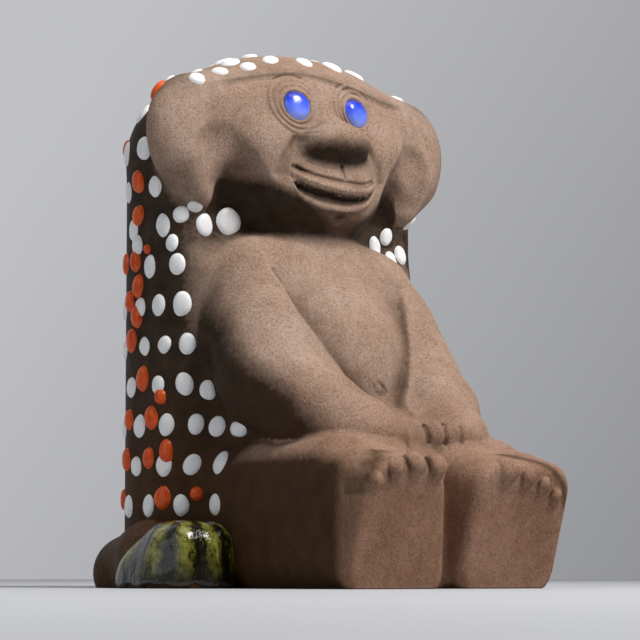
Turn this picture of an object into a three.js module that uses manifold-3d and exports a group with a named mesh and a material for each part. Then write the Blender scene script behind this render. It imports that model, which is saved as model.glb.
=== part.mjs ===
// A seated stoneware troll: a hollow clay figure pressed in two halves and luted along the hairline,
// with a rolled clay tail, glaze pooled in the eyes and on the tail's tuft, and glaze dots on the hair.
// Millimetres, +Z up, the face towards -Y, the base on Z = 0, the origin under the seat on the middle plane.
import * as THREE from "three";
import { RoundedBoxGeometry } from "three/addons/geometries/RoundedBoxGeometry.js";
import { mergeVertices } from "three/addons/utils/BufferGeometryUtils.js";
import Module from "manifold-3d";

const wasm = await Module();
wasm.setup();

// The clay's wall, and the gap left wherever two pieces meet.
const WALL = 5;
const SEAM = 0.3;

// The figure's height, and the hair that hangs behind it as a tall rounded slab under a cap.
const FIGURE_HEIGHT = 144;
const HAIR_WIDTH = 84;
const HAIR_DEPTH = 42;
const HAIR_CORNER = 18;
const HAIR_BEHIND_CHEST = 7.5;
const HAIR_BELOW_CROWN = 12;
const CAP_DEPTH = 41;
const CAP_SWELL = 1.2;
const CAP_HEIGHT = 50;
const CAP_BELOW_CROWN = 1;

// The neck, where the hair is set back under the jaw and the ears, and the hollow's passage through it.
const NECK_DEPTH = 28;
const NECK_HEIGHT = 23;
const NECK_CORNER = 8;
const NECK_SETBACK = 6;
const NECK_DROP = 28.5;
const NECK_PASSAGE = 12;

// The head, which leans back behind a broad muzzle. A drop is measured down from the middle of the head
// and a lead is measured forward from it.
const HEAD_WIDTH = 72;
const HEAD_DEPTH = 38;
const HEAD_HEIGHT = 36;
const JAW_WIDTH = 64;
const JAW_DEPTH = 37;
const JAW_HEIGHT = 32;
const JAW_DROP = 12.5;
const JAW_LEAD = 2;
const CHIN_WIDTH = 44;
const CHIN_DEPTH = 34;
const CHIN_HEIGHT = 24;
const CHIN_DROP = 20.5;
const CHIN_LEAD = 8.5;
const CHEEK_WIDTH = 26;
const CHEEK_DEPTH = 21;
const CHEEK_HEIGHT = 18;
const CHEEK_SPACING = 35;
const CHEEK_DROP = 8;
const CHEEK_LEAD = 8.5;
const NOSE_WIDTH = 22;
const NOSE_LENGTH = 17.5;
const NOSE_HEIGHT = 12;
const NOSE_DROP = 8.8;
const NOSE_LEAD = 19.5;
const NOSE_TILT = 26;
const BRIDGE_RADIUS = 4.5;
const BRIDGE_LENGTH = 8;
const MOUTH_WIDTH = 24;
const MOUTH_SAG = 5;
const MOUTH_BELOW_CHIN_MIDDLE = -3.5;
const LIP_GROOVE = 1.3;

// The ears, round flaps at the sides of the face.
const EAR_WIDTH = 26;
const EAR_LENGTH = 30;
const EAR_THICKNESS = 13;
const EAR_SPACING = 73;
const EAR_DROP = 5.5;
const EAR_LEAD = 5.5;

// The glaze pools of the eyes.
const EYE_WIDTH = 7.6;
const EYE_HEIGHT = 8.6;
const EYE_DEPTH = 4.4;
const EYE_SPACING = 20;
const EYE_LIFT = 1.7;

// The torso, a pear that leans back as it narrows from the hips to the shoulders.
const NECK_LENGTH = 22.5;
const HIP_RADIUS = 31;
const CHEST_RADIUS = 22;
const HIP_BACK = 17;
const TORSO_LEAN = 8;
const BELLY_WIDTH = 62;
const BELLY_DEPTH = 54;
const BELLY_HEIGHT = 66;
const BELLY_LEAD = 6;
const BELLY_TILT = 14;
const SHOULDER_WIDTH = 62;
const SHOULDER_DEPTH = 37;
const SHOULDER_HEIGHT = 29;
const SHOULDER_LEAD = 4;

// The lap, which fills the body out over the thighs between the hands. Its reach is measured forward from
// the middle of the hips, like those of the arms.
const LAP_WIDTH = 48;
const LAP_LENGTH = 40;
const LAP_HEIGHT = 26;
const LAP_REACH = 24;
const LAP_LIFT = 2;

// The arms, which come down the flanks to hands on the inner thighs.
const ARM_RADIUS = 15;
const ELBOW_RADIUS = 14.6;
const WRIST_RADIUS = 9;
const ARM_SPACING = 40;
const ARM_REACH = 2;
const ARM_BELOW_SHOULDER = 5;
const ELBOW_SPACING = 49;
const ELBOW_REACH = 16;
const ELBOW_LIFT = 14;
const HAND_SPACING = 28.5;
const HAND_REACH = 43;
const HAND_LIFT = 0.5;
const HAND_WIDTH = 26;
const HAND_LENGTH = 24;
const HAND_HEIGHT = 15;

// The legs, stretched forward, the soles, which lean forward at their tops, and the web between the legs.
const LEG_WIDTH = 33;
const LEG_LENGTH = 68;
const LEG_HEIGHT = 39;
const LEG_CORNER = 14;
const LEG_GAP = 4;
const LEG_BEHIND_HIPS = 5;
const SOLE_WIDTH = 32;
const SOLE_HEIGHT = 38;
const SOLE_THICKNESS = 14;
const SOLE_CORNER = 6.5;
const SOLE_LEAN = 17;
const SOLE_LEAD = 2.5;
const WEB_HEIGHT = 26;
const WEB_CORNER = 4;
const WEB_SETBACK = 7;

// The hairline, seen from the side, where the two halves are luted: leads measured forward from the middle
// of the hips up the flank, then its clearance behind the ears, its temples and its brow.
const BASE_LINE_LEAD = 11;
const THIGH_LINE_LEAD = 18;
const ELBOW_LINE_LEAD = 8;
const ARM_LINE_LEAD = 1;
const NECK_LINE_LEAD = -3;
const EAR_CLEARANCE = 1.5;
const TEMPLE_LEAD = 6;
const TEMPLE_DROP = 11.5;
const BROW_LEAD = 15;
const BROW_DROP = 7.4;

// The tail, a roll that thickens round the back right corner to a glazed tuft.
const TAIL_ROOT_RADIUS = 4;
const TAIL_RADIUS = 9;
const TAIL_BEND_INSET = 3;
const TAIL_BEND_FROM_BACK = 8;
const TUFT_WIDTH = 25;
const TUFT_LENGTH = 33;
const TUFT_HEIGHT = 16.5;
const TUFT_FROM_BACK = 36.5;
const TUFT_GLAZE = 1.4;
const GLAZE_FOOT = 1.5;

// The glaze dots: their sizes, the first row above the base, the row in the neck and how far it is below
// the neck's middle, the last row below the crown, and the fringe row.
const WHITE_DOT_WIDTH = 5.6;
const WHITE_DOT_HEIGHT = 6.4;
const ORANGE_DOT_WIDTH = 5;
const ORANGE_DOT_HEIGHT = 6.6;
const DOT_RISE = 1.5;
const FIRST_ROW = 21.5;
const NECK_ROW = 7;
const NECK_ROW_DROP = 2.15;
const LAST_ROW_DROP = 17;
const ORANGE_LIFT = 2;
const FRINGE_MARGIN = 5;
const FRINGE_SWEEP = 16;

// Each row of dots up the right side: how far each dot is turned about the hair's middle, in degrees, from
// 0 at the side towards the back.
const WHITE_ROWS = [
  [-34, -19, -4, 10],
  [-36, -23, -12, 4],
  [-24, -13, 2, 17],
  [-20, -9, 8],
  [-21, -12, -1, 16],
  [-19, -9, 2, 17],
  [-17, -4],
  [-23, -11, 7],
  [-7, 12],
  [12],
  [7],
];
const ORANGE_ROWS = [[-11.5, 18], [-4, 12], [-5.5, 9.5], [0], [8], [9.5], [5, 15], [], [3], [18], []];
// The rows carried on round the back and the left side, in odd rows and in even rows. These dots are raised
// on the back half itself.
const BACK_TURNS = [
  [30, 47, 73, 107, 133, 150, 174],
  [38, 58, 90, 122, 141, 162, 186],
];
// The fringe's dots, by their distance from the middle plane.
const FRINGE_DOTS = [-29.5, -22, -12, -2, 8, 18, 28];

// How finely the outside, the hollow and the smaller forms are divided, how near two vertices are one, and
// a length that reaches past the figure.
const FINE = 18;
const COARSE = 10;
const LIMB_QUARTER = 3;
const ARM_LIMBS = 5;
const TAIL_LIMBS = 7;
const SMILE_STEPS = 8;
const HAIRLINE_STEPS = 44;
const DOT_SIDES = 8;
const SAME_VERTEX = 1e-4;
const OUTSIDE = 400;

// Places that follow from the sizes above.
const HEAD_Z = FIGURE_HEIGHT - HEAD_HEIGHT / 2;
const CHIN_Z = HEAD_Z - CHIN_DROP;
const NECK_Z = HEAD_Z - NECK_DROP;
const SHOULDER_Z = CHIN_Z - NECK_LENGTH;
const HIP_Z = LEG_HEIGHT - WALL;
const ELBOW_Z = LEG_HEIGHT + ELBOW_LIFT;
const HAND_Z = LEG_HEIGHT + HAND_LIFT;
const HEAD_Y = HIP_BACK + TORSO_LEAN;
const EAR_Y = HEAD_Y - EAR_LEAD;
const EAR_Z = HEAD_Z - EAR_DROP;
const HAIR_Y = HEAD_Y + HAIR_BEHIND_CHEST;
const HAIR_BACK = HAIR_Y + HAIR_DEPTH / 2;
const HAIR_TOP = FIGURE_HEIGHT - HAIR_BELOW_CROWN;
const LEG_FRONT = HIP_BACK + LEG_BEHIND_HIPS - LEG_LENGTH;

const SIDES = [-1, 1];

// A closed geometry as a solid, placed by a matrix.
function solid(geometry, matrix = new THREE.Matrix4()) {
  const bare = new THREE.BufferGeometry();
  bare.setAttribute("position", geometry.getAttribute("position").clone());
  bare.setIndex(geometry.index ? geometry.index.clone() : null);
  bare.applyMatrix4(matrix);
  const merged = mergeVertices(bare, SAME_VERTEX);
  const vertProperties = merged.getAttribute("position").array;
  const triVerts = new Uint32Array(merged.index.array);
  return new wasm.Manifold(new wasm.Mesh({ numProp: 3, vertProperties, triVerts }));
}

function join(solids) {
  return solids.reduce((whole, next) => whole.add(next));
}

function place(at, turn = [0, 0, 0]) {
  const [rx, ry, rz] = turn.map((degrees) => THREE.MathUtils.degToRad(degrees));
  const rotation = new THREE.Quaternion().setFromEuler(new THREE.Euler(rx, ry, rz));
  return new THREE.Matrix4().compose(new THREE.Vector3(...at), rotation, new THREE.Vector3(1, 1, 1));
}

// The outside forms are drawn finer than those of the hollow, which are taken in by the wall.
function detail(inset) {
  return inset > 0 ? COARSE : FINE;
}

// An ellipsoid, taken in all round by an inset.
function blob(size, at, inset = 0, turn = [0, 0, 0]) {
  const round = detail(inset);
  const geometry = new THREE.SphereGeometry(1, round, round / 2 + 2);
  geometry.rotateX(Math.PI / 2);
  geometry.scale(...size.map((length) => length / 2 - inset));
  return solid(geometry, place(at, turn));
}

// A box with rounded edges, taken in all round by an inset.
function slab(size, corner, at, inset = 0, turn = [0, 0, 0]) {
  const [width, depth, height] = size.map((length) => length - 2 * inset);
  const cornerSteps = inset > 0 ? 1 : 2;
  const geometry = new RoundedBoxGeometry(width, depth, height, cornerSteps, corner - inset);
  return solid(geometry, place(at, turn));
}

// A tapering bar with round ends, taken in all round by an inset.
function limb(from, to, fromRadius, toRadius, inset = 0) {
  const along = to.clone().sub(from);
  const quarter = (radius, height, sign) => {
    const points = Array.from({ length: LIMB_QUARTER + 1 }, (_, step) => {
      const angle = (step / LIMB_QUARTER) * (Math.PI / 2);
      return new THREE.Vector2(radius * Math.cos(angle), height + sign * radius * Math.sin(angle));
    });
    points[LIMB_QUARTER].x = 0;
    return points;
  };
  const lower = quarter(fromRadius - inset, 0, -1).reverse();
  const profile = [...lower, ...quarter(toRadius - inset, along.length(), 1)];
  const yAxis = new THREE.Vector3(0, 1, 0);
  const rotation = new THREE.Quaternion().setFromUnitVectors(yAxis, along.normalize());
  const matrix = new THREE.Matrix4().compose(from, rotation, new THREE.Vector3(1, 1, 1));
  return solid(new THREE.LatheGeometry(profile, COARSE), matrix);
}

// A roll of clay: limbs end to end along a smooth curve through the stations, each [x, y, z, radius].
function roll(stations, steps, inset) {
  const curve = new THREE.CatmullRomCurve3(stations.map(([x, y, z]) => new THREE.Vector3(x, y, z)));
  const radiusAt = (share) => {
    const station = share * (stations.length - 1);
    const before = Math.min(Math.floor(station), stations.length - 2);
    return THREE.MathUtils.lerp(stations[before][3], stations[before + 1][3], station - before);
  };
  return Array.from({ length: steps }, (_, step) => {
    const [start, end] = [step / steps, (step + 1) / steps];
    return limb(curve.getPoint(start), curve.getPoint(end), radiusAt(start), radiusAt(end), inset);
  });
}

// Everything above a height.
function above(height) {
  const geometry = new THREE.BoxGeometry(2 * OUTSIDE, 2 * OUTSIDE, OUTSIDE);
  return solid(geometry, place([0, 0, height + OUTSIDE / 2]));
}

function torso(inset) {
  const hips = new THREE.Vector3(0, HIP_BACK, HIP_Z);
  const chest = new THREE.Vector3(0, HEAD_Y, SHOULDER_Z);
  const belly = [0, HIP_BACK - BELLY_LEAD, ELBOW_Z];
  const shoulders = [0, HEAD_Y - SHOULDER_LEAD, SHOULDER_Z];
  return [
    limb(hips, chest, HIP_RADIUS, CHEST_RADIUS, inset),
    blob([BELLY_WIDTH, BELLY_DEPTH, BELLY_HEIGHT], belly, inset, [-BELLY_TILT, 0, 0]),
    blob([SHOULDER_WIDTH, SHOULDER_DEPTH, SHOULDER_HEIGHT], shoulders, inset),
  ];
}

function lap(inset) {
  const middle = [0, HIP_BACK - LAP_REACH, LEG_HEIGHT + LAP_LIFT];
  return blob([LAP_WIDTH, LAP_LENGTH, LAP_HEIGHT], middle, inset);
}

function hair(inset) {
  const capMiddle = [0, HAIR_BACK - CAP_DEPTH / 2, FIGURE_HEIGHT - CAP_BELOW_CROWN - CAP_HEIGHT / 2];
  const capSize = [HAIR_WIDTH + 2 * CAP_SWELL, CAP_DEPTH + 2 * CAP_SWELL, CAP_HEIGHT];
  const neckMiddle = [0, HEAD_Y - NECK_SETBACK - NECK_DEPTH / 2, NECK_Z];
  const neck = slab([2 * HAIR_WIDTH, NECK_DEPTH, NECK_HEIGHT], NECK_CORNER, neckMiddle, -inset);
  return [
    slab([HAIR_WIDTH, HAIR_DEPTH, 2 * HAIR_TOP], HAIR_CORNER, [0, HAIR_Y, 0], inset).subtract(neck),
    blob(capSize, capMiddle, inset).subtract(neck),
  ];
}

function head(inset) {
  return [
    blob([HEAD_WIDTH, HEAD_DEPTH, HEAD_HEIGHT], [0, HEAD_Y, HEAD_Z], inset),
    blob([JAW_WIDTH, JAW_DEPTH, JAW_HEIGHT], [0, HEAD_Y - JAW_LEAD, HEAD_Z - JAW_DROP], inset),
    blob([CHIN_WIDTH, CHIN_DEPTH, CHIN_HEIGHT], [0, HEAD_Y - CHIN_LEAD, CHIN_Z], inset),
  ];
}

function face(inset) {
  const nose = [0, HEAD_Y - NOSE_LEAD, HEAD_Z - NOSE_DROP];
  const bridge = new THREE.Vector3(...nose).add(new THREE.Vector3(0, BRIDGE_RADIUS / 2, NOSE_HEIGHT / 2));
  const brow = bridge.clone().add(new THREE.Vector3(0, BRIDGE_RADIUS / 2, BRIDGE_LENGTH));
  const cheekSize = [CHEEK_WIDTH, CHEEK_DEPTH, CHEEK_HEIGHT];
  const cheeks = SIDES.map((side) => {
    const middle = [(side * CHEEK_SPACING) / 2, HEAD_Y - CHEEK_LEAD, HEAD_Z - CHEEK_DROP];
    return blob(cheekSize, middle, inset);
  });
  return [
    blob([NOSE_WIDTH, NOSE_LENGTH, NOSE_HEIGHT], nose, inset, [-NOSE_TILT, 0, 0]),
    limb(bridge, brow, BRIDGE_RADIUS, BRIDGE_RADIUS, inset),
    ...cheeks,
  ];
}

function ear(side, inset) {
  const middle = [(side * EAR_SPACING) / 2, EAR_Y, EAR_Z];
  return blob([EAR_WIDTH, EAR_THICKNESS, EAR_LENGTH], middle, inset);
}

function arm(side, inset) {
  const shoulder = [
    (side * ARM_SPACING) / 2,
    HIP_BACK - ARM_REACH,
    SHOULDER_Z - ARM_BELOW_SHOULDER,
    ARM_RADIUS,
  ];
  const elbow = [(side * ELBOW_SPACING) / 2, HIP_BACK - ELBOW_REACH, ELBOW_Z, ELBOW_RADIUS];
  const wrist = [(side * HAND_SPACING) / 2, HIP_BACK - HAND_REACH, HAND_Z, WRIST_RADIUS];
  const hand = [(side * HAND_SPACING) / 2, HIP_BACK - HAND_REACH, HAND_Z];
  return [
    ...roll([shoulder, elbow, wrist], ARM_LIMBS, inset),
    blob([HAND_WIDTH, HAND_LENGTH, HAND_HEIGHT], hand, inset),
  ];
}

// A leg's block runs below the base, so that its lower edges are square.
function leg(side, inset) {
  const size = [LEG_WIDTH, LEG_LENGTH, 2 * LEG_HEIGHT];
  const middle = [(side * (LEG_GAP + LEG_WIDTH)) / 2, LEG_FRONT + LEG_LENGTH / 2, 0];
  return slab(size, LEG_CORNER, middle, inset);
}

function foot(side, inset) {
  const size = [SOLE_WIDTH, SOLE_THICKNESS, SOLE_HEIGHT];
  const middleY = LEG_FRONT - SOLE_LEAD + SOLE_THICKNESS / 2;
  const middle = [(side * (LEG_GAP + SOLE_WIDTH)) / 2, middleY, SOLE_HEIGHT / 2 - SOLE_CORNER / 2];
  return slab(size, SOLE_CORNER, middle, inset, [SOLE_LEAN, 0, 0]);
}

function web(inset) {
  const front = LEG_FRONT + WEB_SETBACK;
  const size = [LEG_WIDTH / 2, HIP_BACK - front, 2 * WEB_HEIGHT];
  return slab(size, WEB_CORNER, [0, (front + HIP_BACK) / 2, 0], inset);
}

// The outside of the figure, without its tail, grown by a gap.
function outside(gap) {
  const sides = SIDES.flatMap((side) => [leg(side, -gap), foot(side, -gap), ear(side, -gap)]);
  const arms = SIDES.flatMap((side) => arm(side, -gap));
  const middle = [...torso(-gap), lap(-gap), web(-gap), ...hair(-gap), ...head(-gap), ...face(-gap)];
  return join([...middle, ...sides, ...arms]).intersect(above(0));
}

// The hollow, scooped out through the base, which keeps a wall of clay inside the torso, hair and head.
function hollow() {
  const chest = new THREE.Vector3(0, HEAD_Y, SHOULDER_Z);
  const skull = new THREE.Vector3(0, HEAD_Y, HEAD_Z);
  const passage = limb(chest, skull, NECK_PASSAGE, NECK_PASSAGE);
  return join([...torso(WALL), ...hair(WALL), ...head(WALL), passage]);
}

// The hairline in side view: up the flank, back behind the ear and forward over the brow.
const BEHIND_EAR = EAR_Y + EAR_THICKNESS / 2 + EAR_CLEARANCE;
const BROW = [HEAD_Y - BROW_LEAD, FIGURE_HEIGHT - BROW_DROP];
const hairline = new THREE.SplineCurve(
  [
    [HIP_BACK - BASE_LINE_LEAD, -LEG_HEIGHT],
    [HIP_BACK - BASE_LINE_LEAD, LEG_HEIGHT / 2],
    [HIP_BACK - THIGH_LINE_LEAD, LEG_HEIGHT],
    [HIP_BACK - ELBOW_LINE_LEAD, ELBOW_Z],
    [HIP_BACK - ARM_LINE_LEAD, (ELBOW_Z + SHOULDER_Z) / 2],
    [HIP_BACK - NECK_LINE_LEAD, CHIN_Z - CHIN_HEIGHT / 2],
    [BEHIND_EAR, EAR_Z - EAR_LENGTH / 3],
    [BEHIND_EAR, EAR_Z],
    [HEAD_Y - TEMPLE_LEAD, FIGURE_HEIGHT - TEMPLE_DROP],
    BROW,
    [HEAD_Y - HEAD_DEPTH, FIGURE_HEIGHT],
  ].map(([y, z]) => new THREE.Vector2(y, z)),
);

// Everything behind the hairline but the ears, brought forward by a gap.
function behindHairline(gap) {
  const outline = [];
  for (let step = 0; step <= HAIRLINE_STEPS; step += 1) {
    const along = hairline.getTangent(step / HAIRLINE_STEPS);
    const forward = new THREE.Vector2(-along.y, along.x);
    outline.push(hairline.getPoint(step / HAIRLINE_STEPS).addScaledVector(forward, gap));
  }
  outline.push(new THREE.Vector2(outline[HAIRLINE_STEPS].x, OUTSIDE));
  outline.push(new THREE.Vector2(OUTSIDE, OUTSIDE));
  outline.push(new THREE.Vector2(OUTSIDE, -OUTSIDE));
  outline.push(new THREE.Vector2(outline[0].x, -OUTSIDE));
  const geometry = new THREE.ExtrudeGeometry(new THREE.Shape(outline.reverse()), {
    depth: 2 * OUTSIDE,
    bevelEnabled: false,
  });
  const across = new THREE.Vector3(1, 0, 0);
  const back = new THREE.Vector3(0, 1, 0);
  const up = new THREE.Vector3(0, 0, 1);
  const matrix = new THREE.Matrix4().makeBasis(back, up, across);
  const ears = join(SIDES.map((side) => ear(side, gap - SEAM)));
  return solid(geometry, matrix.setPosition(-OUTSIDE, 0, 0)).subtract(ears);
}

function finish(color, roughness) {
  return new THREE.MeshStandardMaterial({ color, roughness, metalness: 0 });
}

const bareClay = finish(0x9c7c69, 0.9);
const stainedClay = finish(0x3b2c23, 0.65);
const whiteGlaze = finish(0xe4e5e6, 0.25);
const orangeGlaze = finish(0xb8450f, 0.3);
const blueGlaze = finish(0x3f5cf0, 0.12);
const greenGlaze = finish(0x6a6524, 0.1);

const troll = new THREE.Group();

function meshOf(body, material) {
  const { vertProperties, triVerts } = body.getMesh();
  const geometry = new THREE.BufferGeometry();
  geometry.setAttribute("position", new THREE.BufferAttribute(vertProperties, 3));
  geometry.setIndex(new THREE.BufferAttribute(triVerts, 1));
  return new THREE.Mesh(geometry, material);
}

function addSolid(name, body, material) {
  const mesh = meshOf(body, material);
  mesh.name = name;
  troll.add(mesh);
}

const figure = outside(0);
const figureSurface = meshOf(figure, bareClay);

// Where a line from one point towards another first meets the figure.
function surfaceAt(from, towards) {
  const direction = towards.clone().sub(from).normalize();
  const [hit] = new THREE.Raycaster(from, direction).intersectObject(figureSurface);
  return { point: hit.point, normal: hit.face.normal.clone() };
}

function faceAt(x, z) {
  return surfaceAt(new THREE.Vector3(x, -OUTSIDE, z), new THREE.Vector3(x, 0, z)).point;
}

// The smile, a round groove that follows the muzzle.
function smile() {
  const points = [];
  for (let step = 0; step <= SMILE_STEPS; step += 1) {
    const across = (2 * step) / SMILE_STEPS - 1;
    const height = CHIN_Z - MOUTH_BELOW_CHIN_MIDDLE - MOUTH_SAG * (1 - across * across);
    points.push(faceAt((across * MOUTH_WIDTH) / 2, height));
  }
  const section = new THREE.Shape();
  section.absarc(0, 0, LIP_GROOVE, 0, 2 * Math.PI);
  const extrudePath = new THREE.CatmullRomCurve3(points);
  const options = { steps: 2 * SMILE_STEPS, curveSegments: COARSE / 2, extrudePath };
  return solid(new THREE.ExtrudeGeometry(section, options));
}

function eyeSize(gap) {
  return [EYE_WIDTH, EYE_DEPTH, EYE_HEIGHT].map((length) => length + 2 * gap);
}

// A glaze dot: an ellipsoid set on the figure where the line from outside towards a point first meets it.
const dotShape = new THREE.SphereGeometry(1, DOT_SIDES, DOT_SIDES / 2);

function dotOn(from, towards, width, height, gap) {
  const { point, normal } = surfaceAt(from, towards);
  const up = new THREE.Vector3(0, 0, 1).projectOnPlane(normal).normalize();
  const across = new THREE.Vector3().crossVectors(normal, up);
  const matrix = new THREE.Matrix4().makeBasis(across, normal, up);
  matrix.scale(new THREE.Vector3(width / 2, DOT_RISE, height / 2));
  matrix.setPosition(point.addScaledVector(normal, gap));
  return solid(dotShape, matrix);
}

// The rows are spread evenly below the neck, and evenly above it.
function rowHeight(row) {
  const neckHeight = NECK_Z - NECK_ROW_DROP;
  if (row <= NECK_ROW) {
    return THREE.MathUtils.lerp(FIRST_ROW, neckHeight, row / NECK_ROW);
  }
  const share = (row - NECK_ROW) / (WHITE_ROWS.length - 1 - NECK_ROW);
  return THREE.MathUtils.lerp(neckHeight, FIGURE_HEIGHT - LAST_ROW_DROP, share);
}

// A dot in a row round the hair, turned about the hair's middle.
function rowDot(row, turn, lift, width, height, gap) {
  const middle = new THREE.Vector3(0, HAIR_Y, rowHeight(row) + lift);
  const angle = THREE.MathUtils.degToRad(turn);
  const outward = new THREE.Vector3(-Math.cos(angle), Math.sin(angle), 0);
  return dotOn(middle.clone().addScaledVector(outward, OUTSIDE), middle, width, height, gap);
}

const backDots = WHITE_ROWS.flatMap((_, row) =>
  BACK_TURNS[row % 2].map((turn) => rowDot(row, turn, 0, WHITE_DOT_WIDTH, WHITE_DOT_HEIGHT, 0)),
);

const eyes = SIDES.map((side) => faceAt((side * EYE_SPACING) / 2, HEAD_Z + EYE_LIFT).toArray());
const sockets = eyes.map((eye) => blob(eyeSize(SEAM), eye));
const clay = figure.subtract(join([hollow(), ...sockets, smile()]));
addSolid("front_casting", clay.subtract(behindHairline(SEAM)), bareClay);
addSolid("back_casting", clay.add(join(backDots)).intersect(behindHairline(0)), stainedClay);
addSolid("right_eye_glaze", blob(eyeSize(0), eyes[0]), blueGlaze);
addSolid("left_eye_glaze", blob(eyeSize(0), eyes[1]), blueGlaze);

// The tail lies along the back and the right side of the hair, from a root in the middle of the back.
const TUFT_Y = HAIR_BACK - TUFT_FROM_BACK;
const FLANK = -HAIR_WIDTH / 2;
const tuftMiddle = [FLANK, TUFT_Y, 0];

function tuft(gap) {
  return blob([TUFT_WIDTH, TUFT_LENGTH, 2 * TUFT_HEIGHT], tuftMiddle, -gap);
}

function tail(gap) {
  const middleRadius = (TAIL_ROOT_RADIUS + TAIL_RADIUS) / 2;
  const stations = [
    [0, HAIR_BACK, TAIL_ROOT_RADIUS, TAIL_ROOT_RADIUS],
    [FLANK / 2, HAIR_BACK, middleRadius, middleRadius],
    [FLANK + TAIL_BEND_INSET, HAIR_BACK - TAIL_BEND_FROM_BACK, TAIL_RADIUS, TAIL_RADIUS],
    [FLANK, TUFT_Y, TAIL_RADIUS, TAIL_RADIUS],
  ];
  return join([...roll(stations, TAIL_LIMBS, -gap), tuft(gap)]);
}

const besideFigure = outside(SEAM);
addSolid("tail_roll", tail(0).subtract(besideFigure).intersect(above(0)), stainedClay);
const glazeCoat = tuft(TUFT_GLAZE).subtract(tail(SEAM)).subtract(besideFigure);
addSolid("tail_tuft_glaze", glazeCoat.intersect(above(GLAZE_FOOT)), greenGlaze);

// The other dots are pieces of their own, cut back underneath to follow the clay with a gap.
function addDot(name, dot, material) {
  addSolid(name, dot.subtract(besideFigure), material);
}

function addSideRows(prefix, rows, lift, width, height, material) {
  rows.forEach((turns, row) => {
    turns.forEach((turn, index) => {
      const dot = rowDot(row, turn, lift, width, height, SEAM);
      addDot(`${prefix}_${row + 1}_${index + 1}`, dot, material);
    });
  });
}

// The fringe's dots follow the brow, further back towards the ears.
function addFringeDots(material) {
  FRINGE_DOTS.forEach((x, index) => {
    const sweep = FRINGE_SWEEP * ((2 * x) / HEAD_WIDTH) ** 2;
    const middle = new THREE.Vector3(x, BROW[0] + FRINGE_MARGIN + sweep, HEAD_Z);
    const from = middle.clone().setZ(OUTSIDE);
    addDot(`fringe_dot_${index + 1}`, dotOn(from, middle, WHITE_DOT_WIDTH, WHITE_DOT_HEIGHT, SEAM), material);
  });
}

addSideRows("white_dot", WHITE_ROWS, 0, WHITE_DOT_WIDTH, WHITE_DOT_HEIGHT, whiteGlaze);
addSideRows("orange_dot", ORANGE_ROWS, ORANGE_LIFT, ORANGE_DOT_WIDTH, ORANGE_DOT_HEIGHT, orangeGlaze);
addFringeDots(whiteGlaze);

export default troll;
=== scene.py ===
"""A seated stoneware troll: its clay as smooth blended forms, with incised lines, glaze pools and glaze dots.

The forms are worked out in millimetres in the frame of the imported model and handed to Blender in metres.
"""

import math

import bmesh
import bpy
import numpy as np
import openvdb
from mathutils import Matrix, Vector


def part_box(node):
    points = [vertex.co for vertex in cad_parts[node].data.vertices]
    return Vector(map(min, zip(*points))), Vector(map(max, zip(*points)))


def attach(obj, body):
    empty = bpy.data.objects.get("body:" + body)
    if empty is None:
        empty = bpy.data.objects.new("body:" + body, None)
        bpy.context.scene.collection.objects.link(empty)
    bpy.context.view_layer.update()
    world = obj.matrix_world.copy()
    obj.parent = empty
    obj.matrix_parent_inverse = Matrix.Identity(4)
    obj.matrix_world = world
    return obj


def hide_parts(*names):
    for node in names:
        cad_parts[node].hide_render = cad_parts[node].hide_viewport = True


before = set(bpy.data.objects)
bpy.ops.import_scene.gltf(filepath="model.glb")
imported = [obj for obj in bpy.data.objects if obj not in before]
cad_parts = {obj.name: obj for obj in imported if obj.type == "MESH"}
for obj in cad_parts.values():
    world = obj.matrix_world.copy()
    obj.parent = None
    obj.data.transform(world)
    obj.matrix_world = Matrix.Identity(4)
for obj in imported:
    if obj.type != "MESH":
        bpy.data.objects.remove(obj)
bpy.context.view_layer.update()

MM = 0.001

# The clay's grid: lowest corner, highest corner and cell.
CLAY_GRID = ((-56.0, -58.0, -2.0), (56.0, 62.0, 148.0), 0.9)
# How many cells of distance a grid keeps beside the surface, and the step that a slope is taken over.
GRID_BAND, SLOPE_STEP = 5, 0.15
# The rounds that settle a grid's vertices, split edges, single places and the points of a dome.
SETTLE_ROUNDS, REFINED_ROUNDS, PLACE_ROUNDS, BASE_ROUNDS = 4, 2, 12, 6
LONGEST_STEP = 1

# The head: each form's middle, half sizes and the width that it is blended over, or a rod's ends and radii.
# A form on one side is mirrored to the other.
SKULL = ((0, 25, 126), (36, 19, 18))
JAW = ((0, 23, 113.5), (32, 18.5, 16), 5)
MUZZLE = ((0, 16.5, 106), (21, 16.5, 11), 8)
CHIN = ((0, 16, 102.5), (16, 14, 8), 6)
CHEEK = ((-17.5, 16.5, 118), (11, 9.5, 7.5), 8)
EAR = ((-36.5, 19.5, 120.5), (13, 6.5, 15), 9)
LOBE, LOBE_BLEND = ((-36.5, 18.5, 113), (-33.2, 18, 105), 6, 4.2), 8
EAR_SCOOP, SCOOP_BLEND = ((-33.5, 8.6, 115.5), (-26.8, 9.4, 102.5), 5, 7.4), 4
NOSE, NOSE_TILT, NOSE_BLEND = ((0, 5, 117.5), (11.4, 9.2, 5.4)), -20, 2.5
BRIDGE, BRIDGE_BLEND = ((0, 12, 130), (0, 6.5, 120.5), 3.2, 5), 5

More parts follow.
